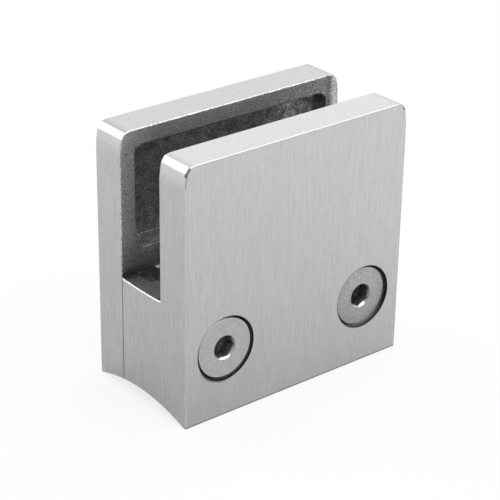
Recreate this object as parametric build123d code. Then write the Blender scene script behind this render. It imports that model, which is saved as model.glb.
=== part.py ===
from build123d import *
from math import cos, radians, sqrt
import os

# Glass clamp that sits on a round rail tube and holds a sheet of glass upright in its slot.
# X runs along the tube and the glass, Y goes from the front jaw to the rear jaw, Z is up.
# The origin is on the axis of the fixing hole, level with the two long bottom edges.
# All sizes are in millimetres, and all angles in degrees.

# Outside of the clamp
clamp_width = 50.0
clamp_height = 50.0
clamp_depth = 26.0
outer_edge_radius = 0.22
inner_edge_radius = 0.24
bottom_edge_radius = 0.15

# Each top corner is ground to a small facet, between a long gentle curve that comes up the side
# and a shorter one that comes in from the top; the facet's ends are given from the square corner
corner_side_reach = 5.0
corner_top_reach = 2.6
facet_low_in = 0.43
facet_low_down = 1.25
facet_high_in = 1.15
facet_high_down = 0.24
facet_blend_radius = 0.8

# Slot for the glass, midway between the faces, with a slightly dished floor
slot_gap = 11.4
slot_floor_height = 22.4
slot_floor_dish = 0.2

# Hollow foot, shaped to the tube, with a narrow flat land along each outer edge
tube_radius = 38.05
foot_land = 0.4

# Gasket pocket in the inner face of each jaw
pocket_side_rim = 3.1
pocket_top_rim = 3.1
pocket_bottom_height = 27.2
pocket_depth = 4.7
pocket_corner_radius = 1.7
pocket_root_radius = 0.45

# Small hollow in the slot floor near each end, open towards the rear jaw
hollow_end_wall = 3.2
hollow_width = 4.2
hollow_reach = 5.0
hollow_depth = 2.7
hollow_corner_radius = 1.6
hollow_root_radius = 0.5

# Countersunk clamping screws
screw_from_end = 8.9
screw_height = 13.4
screw_length = 23.0
thread_diameter = 6.0
head_diameter = 11.56
head_rim = 0.45
head_edge_bevel = 0.1
left_head_sink = 0.35
right_head_sink = 0.6
socket_across_flats = 4.0
socket_depth = 2.5
socket_mouth_bevel = 0.04
socket_root_cone = 0.9
screw_tip_bevel = 0.8
left_socket_angle = -6.0
right_socket_angle = 24.0

# Room around the screws
head_side_room = 0.42
head_seat_clearance = 0.06
screw_hole_room = 0.3
thread_clearance = 0.05
screw_end_room = 0.5
threaded_mouth_bevel = 0.4

# Fixing hole down through the base into the tube
fixing_hole_diameter = 6.6
fixing_head_diameter = 11.0
fixing_head_depth = 6.5

# Planes that follow from the sizes above
front_inner_y = -slot_gap / 2
rear_inner_y = slot_gap / 2
front_face_y = -clamp_depth / 2
rear_face_y = clamp_depth / 2
end_x = clamp_width / 2
screw_x = end_x - screw_from_end

# The tube's axis is set so that both lands of the foot are level
half_foot = clamp_depth / 2 - foot_land
tube_axis_z = -sqrt(tube_radius**2 - half_foot**2)
foot_crown_z = tube_axis_z + tube_radius
near = 0.001

# Radii of a screw, and where its cone ends below the top of its head
head_radius = head_diameter / 2
thread_radius = thread_diameter / 2
cone_end = head_rim + head_radius - thread_radius

# The cone of the seat is parallel to the cone of the head, at 45 degrees to the axis
seat_radius = head_radius + head_side_room
seat_offset = head_seat_clearance * sqrt(2)
seat_start = head_rim - head_side_room + seat_offset
screw_hole_radius = thread_radius + screw_hole_room
seat_end = cone_end - screw_hole_room + seat_offset


def turned_along_y(outline):
    """Solid turned about an axis along Y, from the (radius, y) points of half its section."""
    section = make_face(Polyline(*outline, close=True))
    return revolve(section, axis=Axis.Y)


def front_outline():
    """The clamp seen from the front: square at the foot, with both top corners ground soft."""
    side_end = Vector(end_x, clamp_height - corner_side_reach)
    facet_low = Vector(end_x - facet_low_in, clamp_height - facet_low_down)
    facet_high = Vector(end_x - facet_high_in, clamp_height - facet_high_down)
    top_end = Vector(end_x - corner_top_reach, clamp_height)
    side_curve = TangentArc(side_end, facet_low, tangent=(0, 1))
    top_curve = TangentArc(top_end, facet_high, tangent=(1, 0))
    facet = Line(facet_low, facet_high)
    rest = Polyline(top_end, (0, clamp_height), (0, 0), (end_x, 0), side_end)
    half = make_face(side_curve + facet + top_curve + rest)
    facet_ends = half.vertices().filter_by(lambda point: near < end_x - point.X < corner_top_reach - near)
    half = fillet(facet_ends, facet_blend_radius)
    return Plane.XZ * (half + mirror(half, about=Plane.YZ))


def across_width(side_outline):
    """Carry an outline in the YZ plane across the whole width, inside the front outline."""
    slab = extrude(make_face(side_outline), amount=end_x, dir=(1, 0, 0), both=True)
    envelope = extrude(front_outline(), amount=clamp_depth, both=True)
    return slab & envelope


def tube_space():
    """Room for the rail tube, which runs on past both ends."""
    start = Plane(origin=(-clamp_width, 0, tube_axis_z), x_dir=(0, 1, 0), z_dir=(1, 0, 0))
    return extrude(start * Circle(tube_radius), amount=2 * clamp_width)


def gasket_pocket(inner_y, into_jaw):
    """Rounded pocket, cut from a jaw's inner face; into_jaw is -1 at the front, +1 at the rear."""
    width = clamp_width - 2 * pocket_side_rim
    top = clamp_height - pocket_top_rim
    height = top - pocket_bottom_height
    middle_z = (top + pocket_bottom_height) / 2
    face = Plane(origin=(0, inner_y, middle_z), x_dir=(1, 0, 0), z_dir=(0, into_jaw, 0))
    cutter = extrude(face * RectangleRounded(width, height, pocket_corner_radius), amount=pocket_depth)
    root_edges = cutter.faces().sort_by(Axis.Y)[0 if into_jaw < 0 else -1].edges()
    return fillet(root_edges, pocket_root_radius)


def floor_hollow(side):
    """Hollow in the slot floor near one end; its rear half lies past the seam and cuts nothing."""
    middle_x = side * (end_x - hollow_end_wall - hollow_width / 2)
    top = Plane(origin=(middle_x, rear_inner_y, slot_floor_height), z_dir=(0, 0, -1))
    plan = RectangleRounded(hollow_width, 2 * hollow_reach, hollow_corner_radius)
    cutter = extrude(top * plan, amount=hollow_depth)
    root_edges = cutter.faces().sort_by(Axis.Z)[0].edges()
    return fillet(root_edges, hollow_root_radius)


def at_screw(side_sign, solid):
    """Move a solid from the origin to the top of one screw's head, which is sunk below the face."""
    sink = left_head_sink if side_sign < 0 else right_head_sink
    return Pos(side_sign * screw_x, front_face_y + sink, screw_height) * solid


def screw_seat():
    """Sunk countersink and clearance hole for one screw, long enough to go right through the base."""
    return turned_along_y([
        (0, -clamp_depth),
        (seat_radius, -clamp_depth),
        (seat_radius, seat_start),
        (screw_hole_radius, seat_end),
        (screw_hole_radius, clamp_depth),
        (0, clamp_depth),
    ])


def threaded_hole(side_sign):
    """Blind hole for one screw in the rear jaw, at the thread's outer size, with a bevelled mouth."""
    radius = thread_radius + thread_clearance
    hole = turned_along_y([
        (0, -clamp_depth),
        (radius, -clamp_depth),
        (radius, screw_length + screw_end_room),
        (0, screw_length + screw_end_room),
    ])
    mouth_radius = radius + threaded_mouth_bevel
    mouth = turned_along_y([(0, 0), (mouth_radius, 0), (0, mouth_radius)])
    return at_screw(side_sign, hole) + Pos(side_sign * screw_x, rear_inner_y, screw_height) * mouth


def fixing_hole():
    """Stepped hole on the Z axis: the bolt's head sinks below the slot floor."""
    upwards = (Align.CENTER, Align.CENTER, Align.MIN)
    downwards = (Align.CENTER, Align.CENTER, Align.MAX)
    through = Cylinder(fixing_hole_diameter / 2, slot_floor_height, align=upwards)
    head_room = Cylinder(fixing_head_diameter / 2, fixing_head_depth, align=downwards)
    return through + Pos(0, 0, slot_floor_height) * head_room


def round_edges(solid, radius, is_wanted):
    """Round each edge whose middle point passes the test and lies above the foot's hollow."""
    upper_edges = solid.edges().filter_by(lambda edge: (edge @ 0.5).Z > foot_crown_z + near)
    return fillet(upper_edges.filter_by(lambda edge: is_wanted(edge @ 0.5)), radius)


def round_bottom_edge(solid, face_y):
    """Round the long edge at the foot of an outer face, which leaves most of the land flat."""
    bottom_edges = solid.edges().filter_by(lambda edge: in_plane((edge @ 0.5).Z, 0))
    return fillet(bottom_edges.filter_by(lambda edge: in_plane((edge @ 0.5).Y, face_y)), bottom_edge_radius)


def in_plane(place, position):
    """True if a coordinate lies in a plane, allowing for rounding errors."""
    return abs(place - position) < near


def make_clamp_body():
    """Front jaw and base, one casting."""
    dip = (0, 0, slot_floor_height - slot_floor_dish)
    side = Wire([
        Line((0, rear_inner_y, 0), (0, front_face_y, 0)),
        Line((0, front_face_y, 0), (0, front_face_y, clamp_height)),
        Line((0, front_face_y, clamp_height), (0, front_inner_y, clamp_height)),
        Line((0, front_inner_y, clamp_height), (0, front_inner_y, slot_floor_height)),
        ThreePointArc((0, front_inner_y, slot_floor_height), dip, (0, rear_inner_y, slot_floor_height)),
        Line((0, rear_inner_y, slot_floor_height), (0, rear_inner_y, 0)),
    ])
    body = across_width(side) - tube_space()
    body = round_edges(body, outer_edge_radius, lambda p: in_plane(p.Y, front_face_y))
    body = round_bottom_edge(body, front_face_y)

    # One chain runs down the jaw, along the floor's end and down the seam
    body = round_edges(body, inner_edge_radius, lambda p: (
        in_plane(p.Y, front_inner_y) and p.Z > slot_floor_height + near
        or in_plane(abs(p.X), end_x) and p.Y > front_inner_y + near
    ))
    body -= gasket_pocket(front_inner_y, -1)
    body -= fixing_hole()
    for side_sign in (-1, 1):
        body -= floor_hollow(side_sign)
        body -= at_screw(side_sign, screw_seat())
    return body


def make_rear_jaw():
    """Full height plate behind the slot and the base."""
    outline = front_outline()
    jaw = Pos(0, rear_face_y, 0) * extrude(outline, amount=rear_face_y - rear_inner_y) - tube_space()
    jaw = round_edges(jaw, outer_edge_radius, lambda p: in_plane(p.Y, rear_face_y))
    jaw = round_bottom_edge(jaw, rear_face_y)
    jaw = round_edges(jaw, inner_edge_radius, lambda p: in_plane(p.Y, rear_inner_y))
    jaw -= gasket_pocket(rear_inner_y, 1)
    for side_sign in (-1, 1):
        jaw -= threaded_hole(side_sign)
    return jaw


def make_screw(side_sign, socket_angle):
    """Countersunk screw with a hexagon socket; the angle turns the socket, seen from the front."""
    screw = turned_along_y([
        (0, 0),
        (head_radius - head_edge_bevel, 0),
        (head_radius, head_edge_bevel),
        (head_radius, head_rim),
        (thread_radius, cone_end),
        (thread_radius, screw_length - screw_tip_bevel),
        (thread_radius - screw_tip_bevel, screw_length),
        (0, screw_length),
    ])
    inner_radius = socket_across_flats / 2
    hexagon = RegularPolygon(inner_radius, 6, major_radius=False, rotation=socket_angle)
    screw -= extrude(Plane.XZ * hexagon, amount=-socket_depth)

    # A drilled cone below the socket, and a countersink that scallops the top of each flat
    root = socket_depth + socket_root_cone
    mouth_radius = inner_radius / cos(radians(30)) + socket_mouth_bevel
    screw -= turned_along_y([(0, socket_depth), (inner_radius, socket_depth), (0, root)])
    screw -= turned_along_y([(0, 0), (mouth_radius, 0), (0, mouth_radius)])
    return at_screw(side_sign, screw)


pieces = {
    "clamp_body": make_clamp_body(),
    "rear_jaw": make_rear_jaw(),
    "screw_left": make_screw(-1, left_socket_angle),
    "screw_right": make_screw(1, right_socket_angle),
}

os.makedirs("parts", exist_ok=True)
for name, piece in pieces.items():
    export_step(piece, f"parts/{name}.step")
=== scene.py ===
from math import cos, pi, radians, sin, sqrt
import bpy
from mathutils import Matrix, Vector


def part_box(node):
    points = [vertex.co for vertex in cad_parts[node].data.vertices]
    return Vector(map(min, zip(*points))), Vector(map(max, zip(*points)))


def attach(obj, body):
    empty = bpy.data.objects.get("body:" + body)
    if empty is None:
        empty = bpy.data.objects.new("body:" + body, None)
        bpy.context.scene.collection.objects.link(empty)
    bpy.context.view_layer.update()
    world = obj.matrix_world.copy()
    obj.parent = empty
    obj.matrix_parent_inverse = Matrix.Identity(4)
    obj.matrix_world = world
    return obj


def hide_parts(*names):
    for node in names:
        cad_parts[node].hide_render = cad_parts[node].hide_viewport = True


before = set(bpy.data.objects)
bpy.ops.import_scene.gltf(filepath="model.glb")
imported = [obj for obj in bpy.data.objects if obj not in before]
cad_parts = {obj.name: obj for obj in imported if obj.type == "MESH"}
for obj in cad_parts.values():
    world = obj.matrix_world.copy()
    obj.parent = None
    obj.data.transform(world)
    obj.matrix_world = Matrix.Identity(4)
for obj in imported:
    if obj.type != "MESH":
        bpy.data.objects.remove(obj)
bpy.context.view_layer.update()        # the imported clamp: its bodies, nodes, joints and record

from types import SimpleNamespace

import bmesh
import bpy
from mathutils import Matrix, Vector

mm = 0.001
hair = 0.02 * mm         # how softly a finish ends, and how far it may reach past its edge
scene = bpy.context.scene

# the clamp's own measures, read from the frame
bodyLow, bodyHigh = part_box("clamp_body")
jawLow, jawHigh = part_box("rear_jaw")
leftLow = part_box("screw_left")[0]
rightLow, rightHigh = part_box("screw_right")
halfWidth, top = bodyHigh.x, bodyHigh.z
front, slotSide, back = bodyLow.y, jawLow.y, jawHigh.y
screwX, screwZ = (rightLow.x + rightHigh.x) / 2, (rightLow.z + rightHigh.z) / 2
print("clamp frame loaded")


# nodes: short ways to build a material, a socket or a number goes in wherever a value is wanted

def newMaterial(name):
    material = bpy.data.materials.new(name)
    material.use_nodes = True
    material.node_tree.nodes.clear()
    return material, material.node_tree


def plug(tree, socket, value):
    if isinstance(value, bpy.types.NodeSocket):
        tree.links.new(value, socket)
    else:
        socket.default_value = value


def calc(tree, operation, *values):
    node = tree.nodes.new("ShaderNodeMath")
    node.operation = operation
    for socket, value in zip(node.inputs, values):
        plug(tree, socket, value)
    return node.outputs[0]


def product(tree, *values):
    amount = values[0]
    for value in values[1:]:
        amount = calc(tree, "MULTIPLY", amount, value)
    return amount


def largest(tree, *values):
    amount = values[0]
    for value in values[1:]:
        amount = calc(tree, "MAXIMUM", amount, value)
    return amount


def remap(tree, value, fromLow, fromHigh, toLow, toHigh, smooth=False):
    node = tree.nodes.new("ShaderNodeMapRange")
    node.interpolation_type = "SMOOTHSTEP" if smooth else "LINEAR"
    for socket, number in zip(node.inputs, (value, fromLow, fromHigh, toLow, toHigh)):
        plug(tree, socket, number)
    return node.outputs[0]


def rise(tree, value, span):
    # 0 before the span and 1 after it
    return remap(tree, value, *span, 0.0, 1.0)


def fall(tree, value, span):
    return remap(tree, value, *span, 1.0, 0.0)


def blendTo(tree, amount, first, second):
    node = tree.nodes.new("ShaderNodeMix")
    for socket, value in zip((node.inputs[0], node.inputs[2], node.inputs[3]), (amount, first, second)):
        plug(tree, socket, value)
    return node.outputs[0]


def shaded(tree, tone, area, shade):
    # the tone times the shade, inside the area only
    return product(tree, tone, blendTo(tree, area, 1.0, shade))


def splitUp(tree, vector):
    node = tree.nodes.new("ShaderNodeSeparateXYZ")
    tree.links.new(vector, node.inputs[0])
    return node.outputs


def stretched(tree, place, perMetre):
    node = tree.nodes.new("ShaderNodeVectorMath")
    node.operation = "MULTIPLY"
    tree.links.new(place, node.inputs[0])
    node.inputs[1].default_value = perMetre
    return node.outputs[0]


def lengthOf(tree, first, second):
    squares = [product(tree, side, side) for side in (first, second)]
    return calc(tree, "SQRT", calc(tree, "ADD", *squares))


def distanceTo(tree, across, along, spotAcross, spotAlong):
    awayAcross = calc(tree, "SUBTRACT", across, spotAcross)
    awayAlong = calc(tree, "SUBTRACT", along, spotAlong)
    return lengthOf(tree, awayAcross, awayAlong)


def cloudy(tree, place, grain, detail=2.0, roughness=0.5, distortion=0.0):
    node = tree.nodes.new("ShaderNodeTexNoise")
    node.inputs["Scale"].default_value = 1 / grain
    node.inputs["Detail"].default_value = detail
    node.inputs["Roughness"].default_value = roughness
    node.inputs["Distortion"].default_value = distortion
    tree.links.new(place, node.inputs["Vector"])
    return node.outputs["Fac"]


def bumpy(tree, height, depth, before=None, strength=1.0):
    node = tree.nodes.new("ShaderNodeBump")
    node.inputs["Distance"].default_value = depth
    plug(tree, node.inputs["Strength"], strength)
    tree.links.new(height, node.inputs["Height"])
    if before is not None:
        tree.links.new(before, node.inputs["Normal"])
    return node.outputs[0]


def metal(tree, tone, rough, normal):
    shader = tree.nodes.new("ShaderNodeBsdfPrincipled")
    shader.inputs["Metallic"].default_value = 1.0
    colour = tree.nodes.new("ShaderNodeCombineColor")
    for socket in colour.inputs[:3]:
        plug(tree, socket, tone)
    tree.links.new(colour.outputs[0], shader.inputs["Base Color"])
    tree.links.new(rough, shader.inputs["Roughness"])
    tree.links.new(normal, shader.inputs["Normal"])
    output = tree.nodes.new("ShaderNodeOutputMaterial")
    tree.links.new(shader.outputs[0], output.inputs["Surface"])


def grey(level):
    return (level, level, level, 1.0)


def insideOf(tree, axes, low, high, soft):
    # 1 inside a box given by its corners, falling to 0 over the soft distance; None leaves a side open
    amount = 1.0
    for axis, lowEdge, highEdge in zip(axes, low, high):
        if lowEdge is not None:
            amount = product(tree, amount, rise(tree, axis, (lowEdge - soft, lowEdge + soft)))
        if highEdge is not None:
            amount = product(tree, amount, fall(tree, axis, (highEdge - soft, highEdge + soft)))
    return amount


def within(tree, distance, limit):
    return fall(tree, distance, (limit, limit + 0.03 * mm))


# steel of the two castings: brushed outside, as cast inside the slot, machined where the halves meet
# a list of marks gives its places in millimetres, and a shade multiplies the tone

castings = {
    # the brushed outside
    "brushedTone": 0.55,
    "brushedRoughness": 0.30,
    "brushedUnevenness": 0.02,
    "streakWidth": 0.08 * mm,
    "streakLength": 4 * mm,
    "bandWidth": 0.48 * mm,
    "bandLength": 24 * mm,
    "bandShare": 0.4,                          # of the brushed relief, the rest is streaks
    "scratchFineness": 1.5,                    # times as fine as the streaks
    "scratchLevel": (0.62, 0.72),              # only the top of the noise shows as scratches
    "speckSize": 0.16 * mm,
    "streakShade": 0.32,
    "bandShade": 0.04,
    "speckShade": 0.38,
    "endStreaks": 1.35,                        # the grain shows more on the ends
    # painted light on the front top, painted shade on the rear top
    "frontTopShade": 1.06,
    "rearTopShade": 0.93,
    # painted shade on the lower half of the front's top edge
    "edgeShade": 0.62,
    "edgeReach": (0.4 * mm, 0.5 * mm),         # back from the front, down from the top
    # painted shade above each corner facet, painted light below it
    "aboveFacet": 0.8,
    "belowFacet": 1.25,
    "waveLength": 14 * mm,
    "waveDepth": 0.05 * mm,
    "brushDepth": 0.004 * mm,
    "scratchDepth": 0.001 * mm,

    # how far a surface turns, from 0 to 1, where one finish gives way to the next
    "endFacing": (0.7, 0.95),
    "flatFacing": (0.93, 0.99),
    "rimFacing": (0.27, 0.42),
    "rootFacing": (0.02, 0.1),
    "edgeFacing": (0.4, 0.55),
    "tailFacing": (0.2, 0.4),
    "topFacing": (0.7, 0.95),
    "aboveFacing": (0.6, 0.8),
    "belowFacing": (0.04, 0.24),
    "curveFacing": (0.03, 0.22, 0.5, 0.68),    # rises over the first two, falls over the others

    # cast skin
    "castTone": 0.32,
    "castRoughness": 0.57,
    "castUnevenness": 0.14,
    "castGrain": 0.25 * mm,
    "castContrast": (0.25, 1.75),
    "castDepth": 0.05 * mm,
    "lumpSize": 1.75 * mm,
    "lumpShare": 0.15,                         # of the cast relief, the rest is grain
    "poreSize": 0.5 * mm,
    "poreLevel": (0.30, 0.38),                 # only the bottom of the noise shows as pores
    "poreShade": 0.7,
    "poreDepth": 0.02 * mm,
    "chipSize": 0.6 * mm,
    "raggedness": 0.6 * mm,
    "rimGround": 0.06 * mm,
    # painted light and shade along the rims, each over a span from x to x
    "leftRim": (-halfWidth, 8 * mm - halfWidth),
    "leftRimShade": 1.7,
    "rightRim": (0.0, 16 * mm),
    "rightRimShade": 0.75,
    "rightBand": (21.3 * mm, 22.1 * mm),
    "rightBandShade": 0.72,
    "rightEnd": (22.8 * mm, 23.7 * mm),
    "rightEndShade": 2.7,
    # each pit: x, z, radius
    "pits": ((-23.6, 45.8, 0.34), (-23.85, 38.4, 0.3), (-23.85, 37.1, 0.26), (-24.6, 40.5, 0.2)),
    "pitShade": 0.4,

    # the slot and the two small hollows in its floor
    "slotFloor": 22.4 * mm,
    "floorGround": 0.28 * mm,
    # painted shade deep in the slot, and painted light lifting its lower part further in
    "deepShade": 0.52,
    "deepReach": 9 * mm,
    "lowInside": (18.5 * mm, 22.5 * mm),
    "lowInsideShade": 1.5,
    # painted shade in the corners between the floor and the jaws
    "cornerShade": 0.45,
    "cornerReach": (0.4 * mm, 2.2 * mm),
    "hollow": (15 * mm, 23 * mm),
    "hollowDepth": 3 * mm,
    # painted light in the hollows, painted shade on the floor beside them
    "hollowShade": 1.3,
    "hollowRim": 0.85,

    # the pockets for the pads
    "pocketSide": halfWidth - 3.1 * mm,
    "pocketLow": 27.2 * mm,
    "pocketTop": top - 3.1 * mm,
    "pocketEnd": slotSide + 4.7 * mm,
    "pocketMargin": 0.05 * mm,
    "rearWall": (slotSide + 3.4 * mm, slotSide + 4.2 * mm),
    "pocketGlint": 0.2 * mm,
    # each painted change of light along the rear wall: from x, to x, shade
    "pocketFade": ((-6, 8, 0.42), (14, 17, 2.3), (17.5, 20.5, 2.2)),
    "pocketRightEnd": (18 * mm, 20 * mm),
    "pocketEndDull": 0.4,
    # painted shade on the right side wall of the pocket
    "pocketSideShade": 0.7,
    "pocketLine": 0.4,
    "pocketLineWidth": 0.18 * mm,
    "pocketCorner": 1.4 * mm,                  # the line ends this far from the side
    "pocketRoughness": 0.46,
    # painted shade in the pocket's root, painted light at the foot of its rear wall
    "pocketRoot": 0.5,
    "pocketFootRoot": 0.75,
    "pocketFoot": 1.15,
    "pocketFootHeight": 0.7 * mm,
    # painted highlight on the pocket's lower edge, also used for the light spot on the floor's edge
    "edgeBrightening": 5.0,
    "lightSpot": (-17.6 * mm, -16.6 * mm),      # a light spot on the floor's edge, from x to x

    # machined seats, holes and meeting faces
    "machinedTone": 0.40,
    "machinedRoughness": 0.30,
    "toolStep": 0.22 * mm,
    "toolShade": (0.93, 1.07),
    "toolDepth": 0.004 * mm,
    "seatRadius": 6.2 * mm,
    # painted shade on the seats' walls, painted light at the bottom of the right one
    "seatShade": 0.13,
    "seatLitShade": 0.36,
    "seatLitSide": (-0.9, -0.4),
    "seatRoughness": 0.6,
    "boltSeatRadius": 5.5 * mm,
    "threadHole": 3.05 * mm,
    "threadPitch": 1.0 * mm,
    "threadBump": 1.0 * mm,
    "tubeRadius": 38.05 * mm,
    "footLand": 0.4 * mm,

    # seam dirt, and painted shade and dark reflections outside
    "seamShade": 0.3,
    "seamWidth": 0.14 * mm,
    # painted shade round the seats, below the left one and along the bottom edge
    "seatLine": 0.55,
    "seatLineReach": (0.08 * mm, 0.14 * mm),
    "belowSeatShade": 0.3,
    "belowSeatReach": (0.1 * mm, 0.5 * mm),
    "belowSeatSide": (0.7, 0.95),
    "belowSeatTurn": (0.45, -0.9),                 # the side that it lies on, across and up
    "bottomLine": 0.4,
    "bottomLineReach": (0.22 * mm, 0.36 * mm),
    # each painted dark reflection: x, z, radius, shade, and 1 if it shows on the flat front too
    "darkReflections": ((-24.3, 49.1, 0.8, 0.2, 0.0), (24.2, 49.2, 0.4, 0.3, 1.0)),
    "darkReflectionSquash": 0.6,                         # below 1 it's taller than wide
    "darkReflectionTail": 0.6,
    "tailSide": -24.6 * mm,
    "tailReach": (46.5 * mm, 49 * mm),
}


def readSurface(tree):
    # where a point of the castings lies, which way it faces, and the grains that several finishes share
    c = castings
    place = tree.nodes.new("ShaderNodeTexCoord").outputs["Object"]
    x, y, z = splitUp(tree, place)
    normal = splitUp(tree, tree.nodes.new("ShaderNodeNewGeometry").outputs["Normal"])
    at = SimpleNamespace(place=place, x=x, y=y, z=z, upward=normal[2])
    at.sideways = calc(tree, "ABSOLUTE", x)
    at.acrossSlot = calc(tree, "ABSOLUTE", y)
    at.spot = (at.sideways, at.acrossSlot, z)
    at.endward = calc(tree, "ABSOLUTE", normal[0])
    at.slotward = calc(tree, "ABSOLUTE", normal[1])
    at.onEnd = rise(tree, at.endward, c["endFacing"])
    at.notFlat = fall(tree, at.slotward, c["flatFacing"])
    at.onLeft = fall(tree, x, (-mm, 0.0))
    at.lumps = cloudy(tree, place, c["lumpSize"], detail=3.0, distortion=0.6)
    at.chips = cloudy(tree, place, c["chipSize"])
    at.ragged = product(tree, calc(tree, "SUBTRACT", at.chips, 0.5), c["raggedness"])
    at.fromScrewX = calc(tree, "SUBTRACT", at.sideways, screwX)
    at.fromScrewZ = calc(tree, "SUBTRACT", z, screwZ)
    at.fromScrew = lengthOf(tree, at.fromScrewX, at.fromScrewZ)
    return at


def brushedSteel(tree, at):
    # the grain runs from top to bottom, so it is narrow across and long in height
    c = castings
    fine = (1 / c["streakWidth"], 1 / c["streakWidth"], 1 / c["streakLength"])
    wide = (1 / c["bandWidth"], 1 / c["bandWidth"], 1 / c["bandLength"])
    finest = tuple(value * c["scratchFineness"] for value in fine)
    streaks = cloudy(tree, stretched(tree, at.place, fine), 1.0, detail=0.0)
    bands = cloudy(tree, stretched(tree, at.place, wide), 1.0)
    specks = cloudy(tree, at.place, c["speckSize"], detail=0.0)
    scratches = cloudy(tree, stretched(tree, at.place, finest), 1.0)
    scratches = rise(tree, scratches, c["scratchLevel"])
    grain = blendTo(tree, c["bandShare"], streaks, bands)
    shade = 1.0
    for pattern, amount in ((streaks, c["streakShade"]), (bands, c["bandShade"]), (specks, c["speckShade"])):
        amount = blendTo(tree, at.onEnd, amount, amount * c["endStreaks"])
        swing = product(tree, calc(tree, "SUBTRACT", pattern, 0.5), amount)
        shade = calc(tree, "ADD", shade, swing)
    tone = product(tree, shade, c["brushedTone"])
    smoothest = c["brushedRoughness"] - c["brushedUnevenness"]
    rough = remap(tree, streaks, 0.3, 0.7, smoothest, c["brushedRoughness"] + c["brushedUnevenness"])
    return SimpleNamespace(tone=tone, rough=rough, grain=grain, scratches=scratches)


def castSkin(tree, at):
    c = castings
    grains = cloudy(tree, at.place, c["castGrain"], detail=3.0, roughness=0.6)
    mottle = blendTo(tree, c["lumpShare"], grains, at.lumps)
    pores = cloudy(tree, at.place, c["poreSize"])
    pores = remap(tree, pores, *c["poreLevel"], 0.0, 1.0, smooth=True)
    shade = remap(tree, mottle, 0.3, 0.7, *c["castContrast"])
    tone = product(tree, shade, blendTo(tree, pores, c["poreShade"], 1.0), c["castTone"])
    roughest = c["castRoughness"] + c["castUnevenness"]
    rough = remap(tree, mottle, 0.35, 0.65, roughest, c["castRoughness"] - c["castUnevenness"])
    return SimpleNamespace(tone=tone, rough=rough, mottle=mottle, pores=pores)


def castAreas(tree, at):
    # on the rims the cast skin ends in a ragged line, short of the ground edges
    c = castings
    area = SimpleNamespace()
    edgeX = calc(tree, "ADD", at.sideways, at.ragged)
    edgeZ = calc(tree, "ADD", at.z, at.ragged)
    high = (halfWidth - c["rimGround"], slotSide + 0.3 * mm, top - c["rimGround"])
    onRim = insideOf(tree, (edgeX, at.acrossSlot, edgeZ), (None, None, c["slotFloor"]), high, 3 * hair)
    area.onRim = product(tree, onRim, rise(tree, at.slotward, c["rimFacing"]))

    margin = c["pocketMargin"]
    low = (None, slotSide - 0.1 * mm, c["pocketLow"] - margin)
    high = (c["pocketSide"] + margin, c["pocketEnd"] + margin, c["pocketTop"] + margin)
    area.inPocket = insideOf(tree, at.spot, low, high, hair)
    area.onRearWall = product(tree, rise(tree, at.y, c["rearWall"]), area.inPocket)

    low = (None, None, c["slotFloor"] - c["hollowDepth"])
    high = (halfWidth - c["floorGround"], slotSide + 0.2 * mm, c["slotFloor"] + 0.15 * mm)
    area.onFloor = insideOf(tree, at.spot, low, high, 2 * hair)
    low = (c["hollow"][0], None, c["slotFloor"] - c["hollowDepth"])
    high = (c["hollow"][1], slotSide + 0.2 * mm, c["slotFloor"] - 0.3 * mm)
    area.inHollow = insideOf(tree, at.spot, low, high, 0.1 * mm)
    area.inSlot = largest(tree, area.onRim, area.onFloor)

    # inside of the foot: the cylinder that its two lands end on
    tubeAxis = -sqrt(c["tubeRadius"] ** 2 - (back - c["footLand"]) ** 2)
    fromTube = lengthOf(tree, at.y, calc(tree, "SUBTRACT", at.z, tubeAxis))
    underneath = insideOf(tree, (at.sideways,), (None,), (halfWidth - 0.05 * mm,), hair)
    inFoot = product(tree, within(tree, fromTube, c["tubeRadius"] + 0.03 * mm), underneath)
    area.cast = largest(tree, area.onRim, area.inPocket, area.onFloor, inFoot)
    return area


def shadeSlot(tree, at, area, tone):
    # painted shade deeper in the slot, where less light gets down
    c = castings
    floor = c["slotFloor"]
    depth = remap(tree, at.z, floor, floor + c["deepReach"], c["deepShade"], 1.0, smooth=True)
    tone = shaded(tree, tone, area.inSlot, depth)
    # painted light lifts the slot below the pockets, further in from the ends
    belowPocket = fall(tree, at.z, (c["pocketLow"] - 0.4 * mm, c["pocketLow"]))
    lowInside = product(tree, belowPocket, fall(tree, at.sideways, c["lowInside"]), area.inSlot)
    tone = shaded(tree, tone, lowInside, c["lowInsideShade"])

    # painted shade in the corner between the floor and the jaws, half as much further in
    fromCorner = distanceTo(tree, at.acrossSlot, at.z, slotSide, floor)
    inCorner = remap(tree, fromCorner, *c["cornerReach"], c["cornerShade"], 1.0, smooth=True)
    inCorner = blendTo(tree, product(tree, lowInside, 0.5), inCorner, 1.0)
    tone = shaded(tree, tone, area.inSlot, inCorner)

    # painted light and shade along the rims, and a few deep pits in the left one
    # the left rim is lighter near its end, the right one darker towards its end, with a darker band and a
    # lighter strip there
    wobbly = calc(tree, "ADD", at.x, at.ragged)
    alongRim = remap(tree, at.x, *c["leftRim"], c["leftRimShade"], 1.0)
    for where, span, shade in (
        (at.x, c["rightRim"], c["rightRimShade"]),
        (wobbly, c["rightBand"], c["rightBandShade"]),
        (wobbly, c["rightEnd"], c["rightEndShade"]),
    ):
        alongRim = product(tree, alongRim, remap(tree, where, *span, 1.0, shade))
    tone = shaded(tree, tone, area.onRim, alongRim)
    for pitX, pitZ, pitRadius in c["pits"]:
        pit = distanceTo(tree, at.x, at.z, pitX * mm, pitZ * mm)
        pit = remap(tree, pit, pitRadius * 0.4 * mm, pitRadius * mm, c["pitShade"], 1.0)
        tone = shaded(tree, tone, area.onRim, pit)

    # painted light in the hollow in the floor, and painted shade on the floor beside it
    tone = shaded(tree, tone, area.inHollow, c["hollowShade"])
    low = (c["hollow"][0] + 2 * mm, 0.4 * mm, floor - 0.3 * mm)
    high = (c["hollow"][1] - 1 * mm, None, floor + 0.1 * mm)
    return shaded(tree, tone, insideOf(tree, at.spot, low, high, 0.5 * mm), c["hollowRim"])


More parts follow.
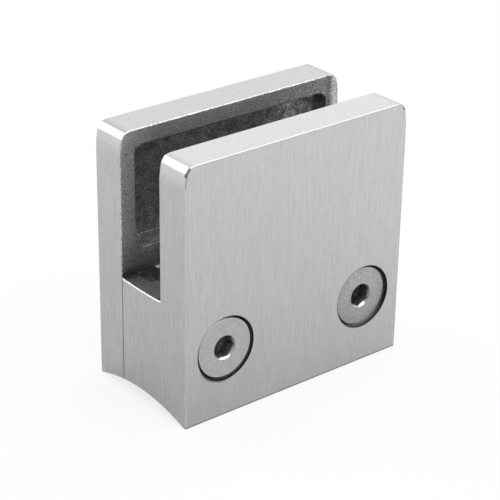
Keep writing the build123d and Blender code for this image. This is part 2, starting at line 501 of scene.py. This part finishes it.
def shadePocket(tree, at, area, tone):
    # glints and patches, and painted light and shade along the rear wall, which changes from left to right
    c = castings
    glints = remap(tree, cloudy(tree, at.place, c["pocketGlint"], detail=0.0), 0.3, 0.7, 0.6, 1.4)
    patches = remap(tree, at.lumps, 0.35, 0.65, 0.75, 1.25)
    tone = shaded(tree, tone, area.inPocket, product(tree, glints, patches))
    # painted shade in the middle of the rear wall and painted light towards its right end, where the corner
    # is deep in shade
    wallShade = 1.0
    for fadeStart, fadeEnd, change in c["pocketFade"]:
        wallShade = product(tree, wallShade, remap(tree, at.x, fadeStart * mm, fadeEnd * mm, 1.0, change))
    tone = shaded(tree, tone, area.onRearWall, wallShade)
    # painted shade on the pocket's right side wall
    low = (c["pocketSide"] - 0.3 * mm, None)
    onSideWall = insideOf(tree, (at.x, at.acrossSlot), low, (None, c["pocketEnd"] - 1.1 * mm), 0.2 * mm)
    tone = shaded(tree, tone, product(tree, onSideWall, area.inPocket), c["pocketSideShade"])

    # painted shade in the rounded root, which dims its highlight, and painted light at the foot of the rear
    # wall
    inRoot = product(tree, rise(tree, at.slotward, c["rootFacing"]), at.notFlat, area.inPocket)
    inRoot = product(tree, inRoot, fall(tree, at.x, c["pocketRightEnd"]))
    tone = shaded(tree, tone, inRoot, c["pocketRoot"])
    low = (None, c["pocketEnd"] - 0.5 * mm, None)
    high = (None, None, c["pocketLow"] + c["pocketFootHeight"])
    atFoot = product(tree, insideOf(tree, at.spot, low, high, 0.3 * mm), area.inPocket)
    tone = shaded(tree, tone, atFoot, blendTo(tree, inRoot, c["pocketFoot"], c["pocketFootRoot"]))

    # a darker line along the top edge
    margin = c["pocketMargin"]
    lineEnd = c["pocketSide"] - c["pocketCorner"]
    low = (None, slotSide - 0.2 * mm, c["pocketTop"] - margin)
    high = (lineEnd, slotSide + margin, c["pocketTop"] + c["pocketLineWidth"])
    tone = shaded(tree, tone, insideOf(tree, at.spot, low, high, 0.03 * mm), c["pocketLine"])

    # painted highlight along the lower edge, and a light spot on the floor's edge beside the left hollow
    low = (None, None, c["pocketLow"] - 0.2 * mm)
    high = (lineEnd - 0.2 * mm, slotSide + margin, c["pocketLow"] + margin)
    brightened = insideOf(tree, at.spot, low, high, 0.03 * mm)
    brightened = product(tree, brightened, remap(tree, at.chips, 0.3, 0.5, 0.4, 1.0))
    low = (c["lightSpot"][0], slotSide - 0.6 * mm, c["slotFloor"] - 0.2 * mm)
    high = (c["lightSpot"][1], slotSide + margin, c["slotFloor"] + 0.2 * mm)
    brightened = largest(tree, brightened, insideOf(tree, (at.x, at.y, at.z), low, high, 0.1 * mm))
    return shaded(tree, tone, brightened, c["edgeBrightening"])


def skinRoughness(tree, at, area, rough):
    c = castings
    smoother = product(tree, area.inPocket, c["pocketRoughness"] - c["castRoughness"])
    duller = product(tree, area.onRearWall, remap(tree, at.x, *c["pocketRightEnd"], 0.0, c["pocketEndDull"]))
    return calc(tree, "ADD", calc(tree, "ADD", rough, smoother), duller)


def machinedSteel(tree, at, area):
    # the screw seats, the bolt's seat, the tapped holes, and the faces that meet under the slot
    c = castings
    inSeat = within(tree, at.fromScrew, c["seatRadius"] + hair)
    inSeat = product(tree, inSeat, insideOf(tree, (at.y,), (None,), (slotSide,), hair / 2))
    inBoltSeat = within(tree, lengthOf(tree, at.x, at.y), c["boltSeatRadius"] + hair)
    belowFloor = insideOf(tree, (at.z,), (None,), (c["slotFloor"] - 0.25 * mm,), hair)
    inBoltSeat = product(tree, inBoltSeat, belowFloor)
    inJaw = insideOf(tree, (at.y,), (slotSide,), (back - 0.5 * mm,), hair / 2)
    inThread = product(tree, within(tree, at.fromScrew, c["threadHole"] + hair), inJaw)
    low = (None, slotSide - hair, None)
    high = (halfWidth - 0.1 * mm, slotSide + hair, c["slotFloor"] - 0.1 * mm)
    atMeeting = insideOf(tree, (at.sideways, at.y, at.z), low, high, hair / 2)
    atMeeting = product(tree, atMeeting, calc(tree, "SUBTRACT", 1.0, area.inHollow))
    everywhere = largest(tree, inSeat, inBoltSeat, atMeeting, inThread)

    # painted shade on the walls of the seats, with painted light at the bottom of the right one
    steps = calc(tree, "PINGPONG", calc(tree, "ADD", at.y, at.z), c["toolStep"])
    steps = calc(tree, "DIVIDE", steps, c["toolStep"])
    tone = product(tree, remap(tree, steps, 0.0, 1.0, *c["toolShade"]), c["machinedTone"])
    litSide = fall(tree, calc(tree, "DIVIDE", at.fromScrewZ, at.fromScrew), c["seatLitSide"])
    litSide = product(tree, litSide, rise(tree, at.x, (-mm, mm)))
    tone = shaded(tree, tone, inSeat, blendTo(tree, litSide, c["seatShade"], c["seatLitShade"]))
    rough = blendTo(tree, inSeat, c["machinedRoughness"], c["seatRoughness"])
    return SimpleNamespace(area=everywhere, tone=tone, rough=rough, steps=steps, inThread=inThread)


def threadShape(tree, at):
    # a right-hand thread: its height rises and falls once for each pitch along the hole
    side = product(tree, at.fromScrewX, calc(tree, "SIGN", at.x))
    turn = calc(tree, "ARCTAN2", side, at.fromScrewZ)
    travel = calc(tree, "DIVIDE", at.y, castings["threadPitch"])
    return calc(tree, "PINGPONG", calc(tree, "MULTIPLY_ADD", turn, -0.5 / pi, travel), 0.5)


def paintedShadeAndReflections(tree, at):
    # painted shade: a dark line round each seat, more of it below the left one, and one along the bottom
    # edge
    c = castings
    onFace = insideOf(tree, (at.y,), (None,), (front + 0.3 * mm,), hair)
    outOfSeat = calc(tree, "SUBTRACT", at.fromScrew, c["seatRadius"])
    seatLine = remap(tree, outOfSeat, *c["seatLineReach"], c["seatLine"], 1.0)
    across, up = c["belowSeatTurn"]
    below = calc(tree, "MULTIPLY_ADD", at.fromScrewZ, up, product(tree, at.fromScrewX, across))
    below = rise(tree, calc(tree, "DIVIDE", below, at.fromScrew), c["belowSeatSide"])
    paintedShade = remap(tree, outOfSeat, *c["belowSeatReach"], c["belowSeatShade"], 1.0)
    paintedShade = shaded(tree, seatLine, product(tree, below, at.onLeft), paintedShade)
    bottomLine = remap(tree, at.z, *c["bottomLineReach"], c["bottomLine"], 1.0)
    paintedShade = blendTo(tree, onFace, 1.0, product(tree, paintedShade, bottomLine))

    # painted dark reflections where the corner facets meet the front, the left one running on down the edge
    onEdge = insideOf(tree, (at.y,), (None,), (front + 0.6 * mm,), 2 * hair)
    for reflectionX, reflectionZ, reflectionRadius, reflectionShade, onFlat in c["darkReflections"]:
        reflectionAcross = calc(tree, "SUBTRACT", at.x, reflectionX * mm)
        reflectionUp = product(tree, calc(tree, "SUBTRACT", at.z, reflectionZ * mm), c["darkReflectionSquash"])
        darkReflection = lengthOf(tree, reflectionAcross, reflectionUp)
        darkReflection = remap(tree, darkReflection, reflectionRadius * 0.6 * mm, reflectionRadius * mm, reflectionShade, 1.0, smooth=True)
        reflectionArea = product(tree, onEdge, largest(tree, at.notFlat, onFlat))
        paintedShade = shaded(tree, paintedShade, reflectionArea, darkReflection)
    low, high = (None, c["tailReach"][0]), (c["tailSide"], c["tailReach"][1])
    tail = product(tree, insideOf(tree, (at.x, at.z), low, high, 0.1 * mm), onEdge, at.notFlat)
    tail = product(tree, tail, rise(tree, at.slotward, c["tailFacing"]))
    return shaded(tree, paintedShade, tail, c["darkReflectionTail"])


def seamDirt(tree, at):
    # polishing dirt stays in the seam between the two castings
    c = castings
    fromSeam = calc(tree, "ABSOLUTE", calc(tree, "SUBTRACT", at.y, slotSide))
    inSeam = fall(tree, fromSeam, (c["seamWidth"] * 0.5, c["seamWidth"]))
    belowSlot = insideOf(tree, (at.z,), (None,), (c["slotFloor"],), 0.1 * mm)
    return product(tree, inSeam, belowSlot, at.notFlat)


def shadeOutside(tree, at, tone):
    # painted shade on the lower half of the front's rounded top edge, which thins its highlight
    c = castings
    backFromFront, downFromTop = c["edgeReach"]
    low, high = (None, top - downFromTop), (front + backFromFront, None)
    topEdge = product(tree, insideOf(tree, (at.y, at.z), low, high, hair), at.notFlat)
    topEdge = product(tree, topEdge, rise(tree, at.slotward, c["edgeFacing"]))
    tone = shaded(tree, tone, topEdge, c["edgeShade"])

    # painted shade on the curve above each corner facet, and painted light on the end just below it
    curve = c["curveFacing"]
    above = product(tree, rise(tree, at.endward, curve[:2]), fall(tree, at.endward, curve[2:]))
    above = product(tree, above, rise(tree, at.upward, c["aboveFacing"]))
    tone = shaded(tree, tone, above, c["aboveFacet"])
    below = product(tree, at.onEnd, rise(tree, at.upward, c["belowFacing"]))
    tone = shaded(tree, tone, below, c["belowFacet"])

    # painted light on the front top and painted shade on the rear one
    behindSeam = insideOf(tree, (at.y,), (slotSide,), (None,), hair / 2)
    topShade = blendTo(tree, behindSeam, c["frontTopShade"], c["rearTopShade"])
    return shaded(tree, tone, rise(tree, at.upward, c["topFacing"]), topShade)


def finishCastings():
    c = castings
    material, tree = newMaterial("satinSteel")
    at = readSurface(tree)
    area = castAreas(tree, at)
    brushed = brushedSteel(tree, at)
    skin = castSkin(tree, at)
    machined = machinedSteel(tree, at, area)

    brushedTone = shadeOutside(tree, at, brushed.tone)
    castTone = shadePocket(tree, at, area, shadeSlot(tree, at, area, skin.tone))
    castRough = skinRoughness(tree, at, area, skin.rough)
    tone = blendTo(tree, machined.area, blendTo(tree, area.cast, brushedTone, castTone), machined.tone)
    rough = blendTo(tree, machined.area, blendTo(tree, area.cast, brushed.rough, castRough), machined.rough)
    # real dirt in the seam, with the painted shade and dark reflections outside
    dirtAndPaintedShade = blendTo(tree, seamDirt(tree, at), paintedShadeAndReflections(tree, at), c["seamShade"])
    tone = product(tree, tone, dirtAndPaintedShade)

    plain = calc(tree, "SUBTRACT", 1.0, largest(tree, area.cast, machined.area))
    waves = cloudy(tree, at.place, c["waveLength"], detail=1.0)
    normal = bumpy(tree, waves, c["waveDepth"], strength=plain)
    normal = bumpy(tree, brushed.grain, c["brushDepth"], before=normal, strength=plain)
    normal = bumpy(tree, brushed.scratches, c["scratchDepth"], before=normal, strength=plain)
    normal = bumpy(tree, skin.mottle, c["castDepth"], before=normal, strength=area.cast)
    normal = bumpy(tree, skin.pores, c["poreDepth"], before=normal, strength=area.cast)
    normal = bumpy(tree, machined.steps, c["toolDepth"], before=normal, strength=machined.area)
    normal = bumpy(tree, threadShape(tree, at), c["threadBump"], before=normal, strength=machined.inThread)
    metal(tree, tone, rough, normal)
    for name in ("clamp_body", "rear_jaw"):
        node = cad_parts[name]
        node.data.materials.clear()
        node.data.materials.append(material)
    print("castings finished")


# screws: the CAD head with a real thread behind it
# a tone or shade in a pair is the left screw's and then the right one's, and a reach is its start and end

screws = {
    "names": ("screw_left", "screw_right"),
    "headDepth": 3.3 * mm,
    "threadRadius": 3.0 * mm,
    "threadDepth": 0.55 * mm,
    "crest": 0.07,                   # half the crest's width, as a share of the pitch
    "flank": 0.36,
    "pitch": 1.0 * mm,
    "neck": 0.8 * mm,
    "runIn": 0.6 * mm,
    "tipBevel": 0.8 * mm,
    "sunkIn": 0.02 * mm,
    "stepsRound": 48,
    "stepsPerTurn": 12,
    "sharpAngle": 25,
    # the left screw is painted lighter than the right one, painted light and shade
    "tone": (0.515, 0.43),
    "roughness": 0.34,
    "turnedStep": 0.2 * mm,
    "ringDepth": 0.006 * mm,
    "smudgeSize": 1.6 * mm,
    "smudgeDepth": 0.01 * mm,
    "speckSize": 0.25 * mm,
    "speckShade": (0.12, 0.2),
    # painted light and shade on the heads, from bottom to top and towards their rims
    "lowShade": (1.0, 0.86),
    "highShade": (0.95, 1.03),
    "heightReach": (-5 * mm, 5 * mm),
    "rimShade": (1.0, 0.9),
    "rimReach": (3.4 * mm, 5.7 * mm),
    # painted highlight at the bottom of each socket's mouth, painted shade round the rest
    "bevelDark": 0.55,
    "bevelBright": 1.8,
    "bevelTurn": 0.14,               # the bright part lies a little left of straight down
    "bevelReach": (-0.83, -0.7),
    "socketRadius": 2.36 * mm,
    "socketStart": 0.38 * mm,
    # painted shade inside the sockets
    "socketShade": 0.2,
    "socketBlotch": 0.5 * mm,
    "socketRoughness": 0.75,
    "socketContrast": (0.45, 1.7),
    "markShade": (0.92, 1.08),
}


def threadRadiusAt(phase):
    # a sharp vee with a flat crest and a narrow flat root, over one turn
    s = screws
    fromCrest = abs(((phase + 0.5) % 1.0) - 0.5)
    share = min(max((fromCrest - s["crest"]) / s["flank"], 0.0), 1.0)
    return s["threadRadius"] - s["threadDepth"] * share


def buildThread(mesh, axisX, axisZ, startY, endY):
    s = screws
    rings = int((endY - startY) / s["pitch"] * s["stepsPerTurn"])
    lastRing = None
    for ring in range(rings + 1):
        y = startY + (endY - startY) * ring / rings
        tipLimit = s["threadRadius"] - s["tipBevel"] + (endY - y)
        cutShare = min(max((y - startY - s["neck"]) / s["runIn"], 0.0), 1.0)
        points = []
        for step in range(s["stepsRound"]):
            turn = step / s["stepsRound"]
            cut = s["threadRadius"] - threadRadiusAt(y / s["pitch"] - turn)
            radius = min(s["threadRadius"] - cut * cutShare, tipLimit)
            angle = 2 * pi * turn
            points.append(mesh.verts.new((axisX + radius * sin(angle), y, axisZ + radius * cos(angle))))
        if lastRing:
            for step in range(s["stepsRound"]):
                after = (step + 1) % s["stepsRound"]
                mesh.faces.new((lastRing[step], lastRing[after], points[after], points[step]))
        else:
            mesh.faces.new(list(reversed(points)))
        lastRing = points
    mesh.faces.new(lastRing)


def buildScrew(name, material):
    s = screws
    low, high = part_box(name)
    axisX, axisZ = (low.x + high.x) / 2, (low.z + high.z) / 2
    cutY = low.y + s["headDepth"]
    mesh = bmesh.new()
    mesh.from_mesh(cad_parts[name].data)
    bmesh.ops.remove_doubles(mesh, verts=mesh.verts, dist=0.0005 * mm)
    everything = mesh.verts[:] + mesh.edges[:] + mesh.faces[:]
    behind = {"plane_co": (0, cutY, 0), "plane_no": (0, 1, 0), "clear_outer": True}
    cut = bmesh.ops.bisect_plane(mesh, geom=everything, **behind)
    rim = [item for item in cut["geom_cut"] if isinstance(item, bmesh.types.BMEdge)]
    bmesh.ops.holes_fill(mesh, edges=rim)
    buildThread(mesh, axisX, axisZ, cutY - s["sunkIn"], high.y)
    bmesh.ops.recalc_face_normals(mesh, faces=mesh.faces)
    data = bpy.data.meshes.new(name + "_threaded")
    mesh.to_mesh(data)
    mesh.free()
    piece = bpy.data.objects.new(name + "_threaded", data)
    scene.collection.objects.link(piece)
    data.shade_smooth()
    data.set_sharp_from_angle(angle=radians(s["sharpAngle"]))
    for face in data.polygons:
        face.use_smooth = abs(face.normal.y) < 0.999
    data.materials.append(material)
    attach(piece, name)
    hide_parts(name)


def finishScrews():
    s = screws
    material, tree = newMaterial("screwSteel")
    place = tree.nodes.new("ShaderNodeTexCoord").outputs["Object"]
    x, y, z = splitUp(tree, place)
    fromAxisX = calc(tree, "SUBTRACT", calc(tree, "ABSOLUTE", x), screwX)
    fromAxisZ = calc(tree, "SUBTRACT", z, screwZ)
    distance = lengthOf(tree, fromAxisX, fromAxisZ)
    onRight = rise(tree, x, (-mm, mm))

    # rings left by the lathe, and smudges and specks over them
    ringPlace = tree.nodes.new("ShaderNodeCombineXYZ")
    plug(tree, ringPlace.inputs[0], calc(tree, "DIVIDE", distance, s["turnedStep"]))
    plug(tree, ringPlace.inputs[1], calc(tree, "DIVIDE", y, s["turnedStep"]))
    rings = cloudy(tree, ringPlace.outputs[0], 1.0, detail=3.0)
    smudges = cloudy(tree, place, s["smudgeSize"], detail=4.0)
    marks = remap(tree, calc(tree, "ADD", rings, smudges), 0.6, 1.4, *s["markShade"])
    swing = blendTo(tree, onRight, *s["speckShade"])
    darkest, brightest = calc(tree, "SUBTRACT", 1.0, swing), calc(tree, "ADD", 1.0, swing)
    specks = remap(tree, cloudy(tree, place, s["speckSize"], detail=1.0), 0.3, 0.7, darkest, brightest)
    # the left screw's tone is painted lighter than the right one's
    tone = product(tree, marks, specks, blendTo(tree, onRight, *s["tone"]))
    rough = remap(tree, smudges, 0.3, 0.7, s["roughness"] - 0.05, s["roughness"] + 0.06)

    # painted light and shade: the heads change a little from bottom to top and towards their rims
    lowTone, highTone = blendTo(tree, onRight, *s["lowShade"]), blendTo(tree, onRight, *s["highShade"])
    tone = product(tree, tone, remap(tree, fromAxisZ, *s["heightReach"], lowTone, highTone))
    rimTone = blendTo(tree, onRight, *s["rimShade"])
    tone = product(tree, tone, remap(tree, distance, *s["rimReach"], 1.0, rimTone))

    # painted shade darkens the pressed socket inside, and it is rough there
    headTop = blendTo(tree, onRight, leftLow.y, rightLow.y)
    depth = calc(tree, "SUBTRACT", y, headTop)
    inMouth = within(tree, distance, s["socketRadius"])
    deep = rise(tree, depth, (s["socketStart"], s["socketStart"] + 0.1 * mm))
    inSocket = product(tree, inMouth, deep, fall(tree, depth, (s["headDepth"], s["headDepth"] + 0.2 * mm)))
    blotches = cloudy(tree, place, s["socketBlotch"], detail=3.0)
    blotches = product(tree, remap(tree, blotches, 0.35, 0.65, *s["socketContrast"]), s["socketShade"])
    tone = shaded(tree, tone, inSocket, blotches)
    rough = blendTo(tree, inSocket, rough, s["socketRoughness"])

    # painted highlight on the bevel at the bottom of the socket's mouth, and painted shade on the rest of
    # the mouth
    side = product(tree, fromAxisX, calc(tree, "SIGN", x))
    downwards = calc(tree, "MULTIPLY_ADD", side, s["bevelTurn"], fromAxisZ)
    downwards = calc(tree, "DIVIDE", downwards, distance)
    bevelLight = remap(tree, downwards, *s["bevelReach"], s["bevelBright"], s["bevelDark"])
    tone = shaded(tree, tone, product(tree, inMouth, calc(tree, "SUBTRACT", 1.0, deep)), bevelLight)

    normal = bumpy(tree, rings, s["ringDepth"])
    normal = bumpy(tree, smudges, s["smudgeDepth"], before=normal)
    metal(tree, tone, rough, normal)
    for name in s["names"]:
        buildScrew(name, material)
    print("screws threaded and finished")


# studio: pale floor and air, a large softbox overhead and a smaller one behind on the left

studio = {
    "floorSize": 5.0,
    "floorDrop": 0.02 * mm,
    "floorTone": 0.88,
    "floorWhite": 0.8,               # how much of the floor's colour the camera sees as plain white
    "mirrored": (0.69, 0.88),        # painted shadow: the floor's tone as the steel mirrors it, near the shadow's centre and far
    "mirroredReach": (20 * mm, 170 * mm),
    "shadowCentre": (-40 * mm, 30 * mm),
    "airDiffuse": 0.2,
    "airMirrored": 1.15,
    "topPlace": (0.35, -0.2, 0.8),
    "topSize": (1.5, 1.5),
    "topGlow": 1.8,
    "backPlace": (-0.47, 0.93, 0.62),
    "backSize": (0.7, 0.65),
    "backGlow": 2.6,
}


def addSoftbox(name, place, size, glow):
    lamp = bpy.data.lights.new(name, "AREA")
    lamp.shape = "RECTANGLE"
    lamp.size, lamp.size_y = size
    lamp.energy = glow * pi * size[0] * size[1]
    softbox = bpy.data.objects.new(name, lamp)
    softbox.location = place
    softbox.rotation_mode = "QUATERNION"
    softbox.rotation_quaternion = Vector(place).to_track_quat("Z", "Y")
    softbox.visible_camera = False
    scene.collection.objects.link(softbox)
    return softbox


def fillAir():
    s = studio
    world = bpy.data.worlds.new("studioAir")
    scene.world = world
    world.use_nodes = True
    tree = world.node_tree
    tree.nodes.clear()
    path = tree.nodes.new("ShaderNodeLightPath").outputs
    mirrored = largest(tree, path["Is Glossy Ray"], path["Is Transmission Ray"])
    air = tree.nodes.new("ShaderNodeBackground")
    air.inputs["Color"].default_value = grey(1.0)
    strength = blendTo(tree, mirrored, s["airDiffuse"], s["airMirrored"])
    plug(tree, air.inputs["Strength"], blendTo(tree, path["Is Camera Ray"], strength, 1.0))
    output = tree.nodes.new("ShaderNodeOutputWorld")
    tree.links.new(air.outputs[0], output.inputs["Surface"])


def layFloor():
    s = studio
    bpy.ops.mesh.primitive_plane_add(size=s["floorSize"], location=(0, 0, bodyLow.z - s["floorDrop"]))
    floor = bpy.context.object
    floor.name = "studioFloor"
    material, tree = newMaterial("paleFloor")
    path = tree.nodes.new("ShaderNodeLightPath").outputs
    x, y, z = splitUp(tree, tree.nodes.new("ShaderNodeTexCoord").outputs["Object"])
    # painted shadow round the clamp, which only the steel's reflections see
    away = distanceTo(tree, x, y, *s["shadowCentre"])
    tone = remap(tree, away, *s["mirroredReach"], *s["mirrored"])
    tone = blendTo(tree, path["Is Glossy Ray"], s["floorTone"], tone)
    paint = tree.nodes.new("ShaderNodeBsdfDiffuse")
    tree.links.new(tone, paint.inputs["Color"])
    glow = tree.nodes.new("ShaderNodeEmission")
    glow.inputs["Color"].default_value = grey(1.0)
    mix = tree.nodes.new("ShaderNodeMixShader")
    plug(tree, mix.inputs[0], product(tree, path["Is Camera Ray"], s["floorWhite"]))
    tree.links.new(paint.outputs[0], mix.inputs[1])
    tree.links.new(glow.outputs[0], mix.inputs[2])
    output = tree.nodes.new("ShaderNodeOutputMaterial")
    tree.links.new(mix.outputs[0], output.inputs["Surface"])
    floor.data.materials.append(material)


def buildStudio():
    s = studio
    fillAir()
    layFloor()
    topSoftbox = addSoftbox("topSoftbox", s["topPlace"], s["topSize"], s["topGlow"])
    topSoftbox.rotation_quaternion = (1, 0, 0, 0)        # it hangs level
    addSoftbox("backSoftbox", s["backPlace"], s["backSize"], s["backGlow"])
    print("studio lit")


# camera, from the photograph's perspective

view = {
    "place": (-184.6 * mm, -226.0 * mm, 166.5 * mm),
    "towardsRight": 39.18,
    "down": 26.23,
    "roll": 0.92,
    "lens": 127.8,
    "sensor": 36.0,
    "nearest": 10 * mm,
}


def placeCamera():
    v = view
    turn, down = radians(v["towardsRight"]), radians(v["down"])
    look = Vector((sin(turn) * cos(down), cos(turn) * cos(down), -sin(down)))
    data = bpy.data.cameras.new("photoCamera")
    data.sensor_width = v["sensor"]
    data.lens = v["lens"]
    data.clip_start = v["nearest"]
    camera = bpy.data.objects.new("photoCamera", data)
    scene.collection.objects.link(camera)
    camera.rotation_mode = "QUATERNION"
    rolled = look.to_track_quat("-Z", "Y").to_matrix() @ Matrix.Rotation(radians(v["roll"]), 3, "Z")
    camera.rotation_quaternion = rolled.to_quaternion()
    camera.location = v["place"]
    scene.camera = camera
    print("camera placed")


placeCamera()
buildStudio()
finishCastings()
finishScrews()
scene.view_settings.view_transform = "Standard"
